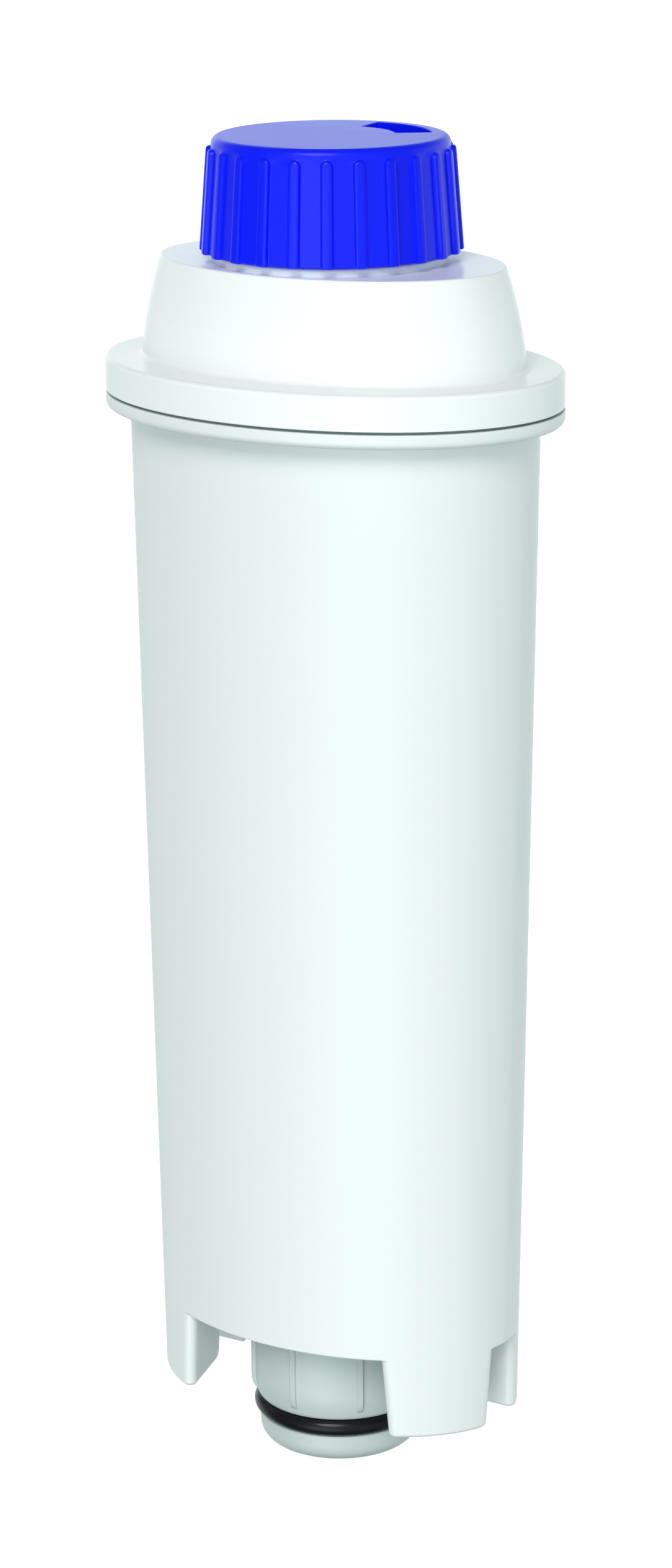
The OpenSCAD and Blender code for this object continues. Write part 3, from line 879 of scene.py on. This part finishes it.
def spigot_turns(s):
    """Turns round the spigot, close together at the ribs' edges."""
    half = s.rib_width / 2 / s.pipe
    close = [0.0, 0.35 * half, 0.6 * half, 0.8 * half, 0.93 * half, half, 1.15 * half, 1.5 * half]
    pitch = TURN / s.ribs
    way = close + spaced(close[-1], pitch / 2, 8)[1:]
    return [rib * pitch + t for rib in range(s.ribs) for t in way + [pitch - t for t in way[-2:0:-1]]]


def spigot_rib(s, turn):
    """How much of a rib's height stands at a turn, from 0 to 1."""
    pitch = TURN / s.ribs
    off = abs((turn + pitch / 2) % pitch - pitch / 2) / (s.rib_width / 2 / s.pipe)
    flat = 0.55
    return 0.0 if off >= 1 else math.sqrt(max(0.0, 1 - (max(off - flat, 0.0) / (1 - flat)) ** 2))


def spigot_mesh(s, hull):
    """The outlet pipe with its ribs, rounded tip, O-ring groove, inner flange and socket."""
    groove_half = s.ring / 2 + s.groove_gap
    groove_low, groove_top = RING_MIDDLE - groove_half, RING_MIDDLE + groove_half
    groove = RING_OUTER - s.ring
    swell_top = groove_top + s.swell
    land = s.pipe + s.rib_height + PUSH_GAP
    soft = 0.12 * MM
    inner = s.socket - s.socket_wall
    form = Form()
    turns = spigot_turns(s)

    profile = [(s.bore + soft, 0.0)]
    profile += arc((s.tip - s.tip_round, s.tip_round), s.tip_round, -QUARTER, 0, 8)
    profile += [(s.tip, groove_low - soft), (s.tip - soft, groove_low), (groove, groove_low)]
    profile += [(groove, groove_top), (s.lip - soft, groove_top), (s.lip, groove_top + soft)]
    rows = lathed(profile, turns)

    # The swell and the ribbed pipe: a quarter sine from the lip out to the pipe
    rib_low, rib_full = groove_top + 0.95 * MM, groove_top + 2 * MM
    levels = [groove_top + soft + (swell_top - groove_top) * i / 14 for i in range(1, 15)]
    levels += spaced(swell_top, hull.floor, 4)[1:]
    for z in levels:
        along = min((z - groove_top) / s.swell, 1.0)
        r = s.lip + (s.pipe - s.lip) * math.sin(QUARTER * along)
        up = min(max((z - rib_low) / (rib_full - rib_low), 0.0), 1.0)
        tall = s.rib_height * math.sqrt(1 - (1 - up) ** 2)
        around = [(r + tall * spigot_rib(s, t), t) for t in turns]
        rows.append([(out * math.cos(t), out * math.sin(t), z) for out, t in around])

    profile = [(land, hull.floor), (land, SEAL_TOP), (s.flange, SEAL_TOP), (s.flange, SCREEN_LOW),
               (s.socket, SCREEN_LOW), (s.socket, SOCKET_TOP), (inner, SOCKET_TOP), (inner, SCREEN_LOW),
               (s.bore, SCREEN_LOW), (s.bore, soft)]
    made = form.bands(rows + lathed(profile, turns))
    form.band(made[-1], made[0])
    return form.mesh("spigot_pipe")


def o_ring_mesh(s):
    """The O-ring in its groove."""
    middle, half = RING_OUTER - s.ring / 2, s.ring / 2
    section = [(middle + half * math.cos(t), RING_MIDDLE + half * math.sin(t)) for t in angles(RING_SECTION)]
    form = Form()
    made = form.bands(lathed(section, angles(RING_POINTS)))
    form.band(made[-1], made[0])
    return form.mesh("spigot_ring")


# --- Materials ---------------------------------------------------------------


class Finish:
    """A node material round one Principled shader."""

    def __init__(self, name, rgb):
        self.material = bpy.data.materials.new(name)
        self.material.use_nodes = True
        self.tree = self.material.node_tree
        self.shader = self.tree.nodes["Principled BSDF"]
        self.rgb = rgb
        self.place = self.tree.nodes.new("ShaderNodeTexCoord").outputs["Object"]

    def set(self, **values):
        """Sets sockets of the shader that are the same all over."""
        for name, value in values.items():
            self.shader.inputs[name.replace("_", " ")].default_value = value
        return self

    def node(self, kind, inputs=None, **settings):
        """A node with settings and with its inputs linked or set."""
        made = self.tree.nodes.new(kind)
        for name, value in settings.items():
            setattr(made, name, value)
        for name, value in (inputs or {}).items():
            if isinstance(value, bpy.types.NodeSocket):
                self.tree.links.new(value, made.inputs[name])
            else:
                made.inputs[name].default_value = value
        return made

    def noise(self, grain, detail=2.0, rough=0.5):
        """Noise whose grain is a length."""
        inputs = {"Vector": self.place, "Scale": 1 / grain, "Detail": detail, "Roughness": rough}
        return self.node("ShaderNodeTexNoise", inputs).outputs["Fac"]

    def spread(self, value, low_, high_):
        """A value from 0 to 1 spread between two others."""
        inputs = {"Value": value, "To Min": low_, "To Max": high_}
        return self.node("ShaderNodeMapRange", inputs).outputs["Result"]

    def link(self, output, name):
        """Links an output to a socket of the shader."""
        self.tree.links.new(output, self.shader.inputs[name])

    def tint(self, value, darker, lighter=1.0):
        """Varies the colour between a darker and a lighter share of itself."""
        mix = self.node("ShaderNodeMix", {"Factor": value}, data_type="RGBA")
        for socket, scale in (("A", darker), ("B", lighter)):
            colour_socket = [i for i in mix.inputs if i.name == socket and i.type == "RGBA"][0]
            colour_socket.default_value = (*[min(c * scale, 1.0) for c in self.rgb], 1.0)
        self.link([o for o in mix.outputs if o.type == "RGBA"][0], "Base Color")

    def bump(self, heights):
        """Bumps, each a height from 0 to 1 with its depth as a length."""
        normal = None
        for height, depth in heights:
            inputs = {"Height": height, "Distance": depth, "Strength": 1.0}
            if normal is not None:
                inputs["Normal"] = normal
            normal = self.node("ShaderNodeBump", inputs).outputs["Normal"]
        self.link(normal, "Normal")


def moulded(name, rgb, rough, grain_depth, gloss=0.5):
    """Injection moulded plastic: a faint grain, slow ripples and rubbed edges."""
    finish = Finish(name, rgb)
    finish.set(IOR=1.49, Specular_IOR_Level=gloss)
    grain = finish.noise(0.25 * MM, 3.0)
    ripple = finish.noise(9 * MM, 1.0)
    cloud = finish.noise(20 * MM, 1.0)
    worn = finish.node("ShaderNodeNewGeometry").outputs["Pointiness"]
    inputs = {"Value": worn, "From Min": 0.52, "From Max": 0.62}
    edge = finish.node("ShaderNodeMapRange", inputs).outputs["Result"]
    finish.tint(cloud, 0.99)
    varied = finish.spread(cloud, rough - 0.02, rough + 0.02)
    rubbed = finish.node("ShaderNodeMath", {0: edge, 1: -0.06}, operation="MULTIPLY").outputs[0]
    finish.link(finish.node("ShaderNodeMath", {0: varied, 1: rubbed}).outputs[0], "Roughness")
    finish.bump([(ripple, 0.02 * MM), (grain, grain_depth)])
    return finish.material


def rubber(name, rgb, rough, gloss=0.5):
    """Moulded rubber, greased in places."""
    finish = Finish(name, rgb)
    finish.set(IOR=1.52, Specular_IOR_Level=gloss)
    grain = finish.noise(0.2 * MM, 2.0)
    film = finish.noise(2.5 * MM, 3.0)
    finish.tint(film, 0.8, 1.2)
    finish.link(finish.spread(film, rough - 0.08, rough + 0.1), "Roughness")
    finish.bump([(grain, 0.004 * MM)])
    return finish.material


def woven(name, rgb, pitch):
    """A fine woven screen."""
    finish = Finish(name, rgb)
    finish.set(Sheen_Weight=0.2)
    inputs = {"Vector": finish.place, "Scale": 0.314 / pitch, "Distortion": 0.2}
    waves = [finish.node("ShaderNodeTexWave", inputs, bands_direction=way).outputs["Fac"]
             for way in ("X", "Y")]
    thread = finish.node("ShaderNodeMath", {0: waves[0], 1: waves[1]}, operation="MAXIMUM").outputs[0]
    finish.tint(thread, 0.45)
    finish.link(finish.spread(thread, 0.75, 0.5), "Roughness")
    finish.bump([(thread, 0.5 * pitch)])
    return finish.material


def felted(name, rgb):
    """Needle punched fleece."""
    finish = Finish(name, rgb)
    finish.set(Sheen_Weight=0.4, Sheen_Roughness=0.6)
    fibre = finish.noise(0.15 * MM, 6.0, 0.7)
    tuft = finish.noise(1.6 * MM, 3.0)
    finish.tint(tuft, 0.85)
    finish.link(finish.spread(fibre, 0.85, 1.0), "Roughness")
    finish.bump([(tuft, 0.25 * MM), (fibre, 0.06 * MM)])
    return finish.material


def packed(name, rgb, grain, rough, randomness, depth):
    """Packed granules or beads."""
    finish = Finish(name, rgb)
    inputs = {"Vector": finish.place, "Scale": 1 / grain, "Randomness": randomness}
    cells = finish.node("ShaderNodeTexVoronoi", inputs)
    inputs = {0: 1.0, 1: cells.outputs["Distance"]}
    hill = finish.node("ShaderNodeMath", inputs, operation="SUBTRACT").outputs[0]
    finish.tint(cells.outputs["Color"], 0.6, 1.25)
    finish.link(finish.spread(hill, rough + 0.25, rough), "Roughness")
    finish.bump([(hill, depth)])
    return finish.material


# --- Operators ---------------------------------------------------------------


def sizes(kind):
    """The scene's property group of one kind."""
    return getattr(bpy.context.scene, "cartridge_" + kind)


class CARTRIDGE_OT_housing(Operator):
    """Build the tall oval shell with its flange and legs"""
    bl_idname = "cartridge.housing"
    bl_label = "Housing"

    def execute(self, context):
        """Builds the shell."""
        white = moulded("white_shell", sizes("finishes").shell, rough=0.33, grain_depth=0.0012 * MM)
        show("housing_shell", housing_mesh(sizes("housing")), white, "cartridge", ["housing"])
        return {"FINISHED"}


class CARTRIDGE_OT_lid(Operator):
    """Build the domed lid and the gasket under its flange"""
    bl_idname = "cartridge.lid"
    bl_label = "Lid and gasket"

    def execute(self, context):
        """Builds the lid and the gasket."""
        hull = Hull(sizes("housing"))
        white = bpy.data.materials["white_shell"]
        show("lid_cover", lid_mesh(sizes("lid"), hull), white, "cartridge", ["lid"])
        grey = rubber("grey_gasket", sizes("finishes").gasket, rough=0.6)
        show("gasket_ring", gasket_mesh(hull), grey, "cartridge", ["flange_gasket"])
        return {"FINISHED"}


class CARTRIDGE_OT_knob(Operator):
    """Build the ribbed selector knob"""
    bl_idname = "cartridge.knob"
    bl_label = "Selector knob"

    def execute(self, context):
        """Builds the knob."""
        blue = moulded("blue_knob", sizes("finishes").knob, rough=0.3, grain_depth=0.001 * MM, gloss=0.2)
        show("knob_cap", knob_mesh(sizes("knob")), blue, "knob", ["selector_knob"])
        return {"FINISHED"}


class CARTRIDGE_OT_dial(Operator):
    """Build the month dial under the knob's window"""
    bl_idname = "cartridge.dial"
    bl_label = "Month dial"

    def execute(self, context):
        """Builds the dial and its marks."""
        blue = moulded("blue_dial", sizes("finishes").dial, rough=0.45, grain_depth=0.001 * MM, gloss=0.2)
        show("dial_disc", dial_mesh(sizes("lid")), blue, "cartridge", ["month_dial"])
        pale = moulded("dial_print", sizes("finishes").mark, rough=0.5, grain_depth=0.001 * MM)
        show("dial_marks", dial_marks_mesh(), pale, "cartridge")
        return {"FINISHED"}


class CARTRIDGE_OT_spigot(Operator):
    """Build the outlet spigot and its O-ring"""
    bl_idname = "cartridge.spigot"
    bl_label = "Spigot and O-ring"

    def execute(self, context):
        """Builds the spigot and the O-ring."""
        s = sizes("spigot")
        # The spigot's material darkens its pale plastic to grey as painted shade from the housing above it.
        grey = moulded("pale_grey_spigot", sizes("finishes").spigot, rough=0.38, grain_depth=0.0015 * MM)
        pipe = spigot_mesh(s, Hull(sizes("housing")))
        show("spigot_pipe", pipe, grey, "cartridge", ["outlet_spigot"])
        black = rubber("black_rubber", sizes("finishes").rubber, rough=0.24, gloss=0.22)
        show("spigot_ring", o_ring_mesh(s), black, "cartridge", ["spigot_o_ring"])
        return {"FINISHED"}


class CARTRIDGE_OT_filter_bed(Operator):
    """Give the tube, grids, meshes, pads and beds inside their finishes"""
    bl_idname = "cartridge.filter_bed"
    bl_label = "Filter bed"

    def execute(self, context):
        """Assigns a finish to each inner piece."""
        colours = sizes("finishes")
        inner = moulded("white_inner", colours.shell, rough=0.5, grain_depth=0.002 * MM)
        fine = woven("fine_mesh", colours.shell, pitch=0.15 * MM)
        fleece = felted("fleece", colours.fleece)
        finishes = {
            "centre_tube": inner, "outlet_screen": inner, "bottom_frame": inner, "top_frame": inner,
            "bottom_mesh": fine, "top_mesh": fine,
            "bottom_fleece": fleece, "separator_fleece": fleece, "top_fleece": fleece,
            "carbon_bed": packed("carbon", colours.carbon, grain=1.1 * MM, rough=0.6,
                                 randomness=1.0, depth=0.5 * MM),
            "resin_bed": packed("resin", colours.resin, grain=0.7 * MM, rough=0.2,
                                randomness=0.6, depth=0.3 * MM),
            "tube_o_ring": bpy.data.materials["black_rubber"],
            "spigot_seal": rubber("dark_seal", colours.gasket, rough=0.6),
        }
        for node, material in finishes.items():
            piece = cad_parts[node]
            piece.data.materials.clear()
            piece.data.materials.append(material)
        return {"FINISHED"}


class CARTRIDGE_OT_stage(Operator):
    """Set the pale floor, the studio light and the camera"""
    bl_idname = "cartridge.stage"
    bl_label = "Stage"

    def execute(self, context):
        """Builds the stage."""
        set_floor()
        set_surround()
        set_lights()
        set_camera()
        return {"FINISHED"}


def set_floor():
    """A wide pale floor under the spigot's tip."""
    work = bmesh.new()
    bmesh.ops.create_circle(work, cap_ends=True, segments=96, radius=FLOOR_RADIUS)
    mesh = bpy.data.meshes.new("floor")
    work.to_mesh(mesh)
    work.free()
    floor = bpy.data.objects.new("floor", mesh)
    finish = Finish("pale_floor", FLOOR_COLOUR)
    finish.tint(finish.noise(0.4, 2.0), 0.995)
    finish.set(Roughness=0.9, Specular_IOR_Level=0.0)
    finish.set(Emission_Color=(1.0, 1.0, 1.0, 1.0), Emission_Strength=FLOOR_GLOW)
    mesh.materials.append(finish.material)
    bpy.context.scene.collection.objects.link(floor)
    floor.visible_diffuse = False
    floor.visible_glossy = False


def set_surround():
    """A studio whose light fades from soft patches into an even room."""
    world = bpy.data.worlds.new("surround")
    world.use_nodes = True
    tree = world.node_tree
    way = tree.nodes.new("ShaderNodeTexCoord").outputs["Generated"]
    total = None
    for towards, start, full, strength in SURROUND:
        near = tree.nodes.new("ShaderNodeVectorMath")
        near.operation = "DOT_PRODUCT"
        near.inputs[1].default_value = heading(*towards)
        tree.links.new(way, near.inputs[0])
        fade = tree.nodes.new("ShaderNodeMapRange")
        fade.interpolation_type = "SMOOTHSTEP"
        for name, value in (("From Min", start), ("From Max", full), ("To Min", 0.0), ("To Max", strength)):
            fade.inputs[name].default_value = value
        tree.links.new(near.outputs["Value"], fade.inputs["Value"])
        light = fade.outputs["Result"]
        if total:
            both = tree.nodes.new("ShaderNodeMath")
            tree.links.new(total, both.inputs[0])
            tree.links.new(light, both.inputs[1])
            light = both.outputs[0]
        total = light
    back = tree.nodes["Background"]
    back.inputs["Color"].default_value = ROOM_TINT
    tree.links.new(total, back.inputs["Strength"])
    bpy.context.scene.world = world


def set_lights():
    """A large soft key from the front, above the camera."""
    light = bpy.data.lights.new("key", "SUN")
    light.energy = KEY_POWER
    light.angle = math.radians(KEY_SPREAD)
    light.color = KEY_TINT
    lamp = bpy.data.objects.new("key", light)
    lamp.rotation_mode = "QUATERNION"
    lamp.rotation_quaternion = heading(*KEY_AT).to_track_quat("Z", "Y")
    lamp.location = heading(*KEY_AT)
    bpy.context.scene.collection.objects.link(lamp)


def heading(azimuth, elevation):
    """Direction from the object towards a viewer at an azimuth and elevation in degrees."""
    turn, lift = math.radians(azimuth), math.radians(elevation)
    return Vector((math.sin(turn) * math.cos(lift), -math.cos(turn) * math.cos(lift), math.sin(lift)))


def set_camera():
    """A long lens a little above the object, turned slightly about its own axis."""
    azimuth, pitch, roll = 32.0, 15.854, 0.428
    away, height, aside = 447.608 * MM, 202.519 * MM, 0.036 * MM
    camera = bpy.data.cameras.new("camera")
    camera.lens = 99.50
    camera.sensor_width = 36.0
    camera.clip_start, camera.clip_end = 0.01, 50.0
    holder = bpy.data.objects.new("camera", camera)
    turn = math.radians(azimuth)
    out = Vector((math.sin(turn), -math.cos(turn), 0))
    across = Vector((math.cos(turn), math.sin(turn), 0))
    holder.location = out * away + across * aside + Vector((0, 0, height))
    holder.rotation_mode = "QUATERNION"
    aim = Matrix.Rotation(turn, 4, "Z") @ Matrix.Rotation(math.radians(90 - pitch), 4, "X")
    holder.rotation_quaternion = (aim @ Matrix.Rotation(math.radians(-roll), 4, "Z")).to_quaternion()
    bpy.context.scene.collection.objects.link(holder)
    bpy.context.scene.camera = holder
    bpy.context.scene.view_settings.view_transform = "Standard"


# --- Panel and registration --------------------------------------------------


PIECES = (CARTRIDGE_OT_housing, CARTRIDGE_OT_lid, CARTRIDGE_OT_knob, CARTRIDGE_OT_dial, CARTRIDGE_OT_spigot,
          CARTRIDGE_OT_filter_bed, CARTRIDGE_OT_stage)
GROUPS = {"housing": HousingSizes, "lid": LidSizes, "knob": KnobSizes, "spigot": SpigotSizes,
          "finishes": Finishes}


class CARTRIDGE_PT_panel(Panel):
    """The cartridge's sizes, colours and pieces."""
    bl_idname = "CARTRIDGE_PT_panel"
    bl_label = "Filter Cartridge"
    bl_space_type = "VIEW_3D"
    bl_region_type = "UI"
    bl_category = "Cartridge"

    def draw(self, context):
        """Lists each group of properties, then the operators."""
        for kind in GROUPS:
            box = self.layout.box()
            box.label(text=kind.capitalize())
            group = getattr(context.scene, "cartridge_" + kind)
            for name in group.__annotations__:
                box.prop(group, name)
        for piece in PIECES:
            self.layout.operator(piece.bl_idname)


def register():
    """Adds the classes and the scene's property groups."""
    for kind, group in GROUPS.items():
        bpy.utils.register_class(group)
        setattr(bpy.types.Scene, "cartridge_" + kind, PointerProperty(type=group))
    for made in (*PIECES, CARTRIDGE_PT_panel):
        bpy.utils.register_class(made)


def unregister():
    """Removes them again."""
    for made in (CARTRIDGE_PT_panel, *PIECES[::-1]):
        bpy.utils.unregister_class(made)
    for kind, group in reversed(GROUPS.items()):
        delattr(bpy.types.Scene, "cartridge_" + kind)
        bpy.utils.unregister_class(group)


def main():
    """Builds everything in order."""
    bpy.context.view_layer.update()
    register()
    for piece in PIECES:
        group, name = piece.bl_idname.split(".")
        getattr(getattr(bpy.ops, group), name)()


if __name__ == "__main__":
    main()
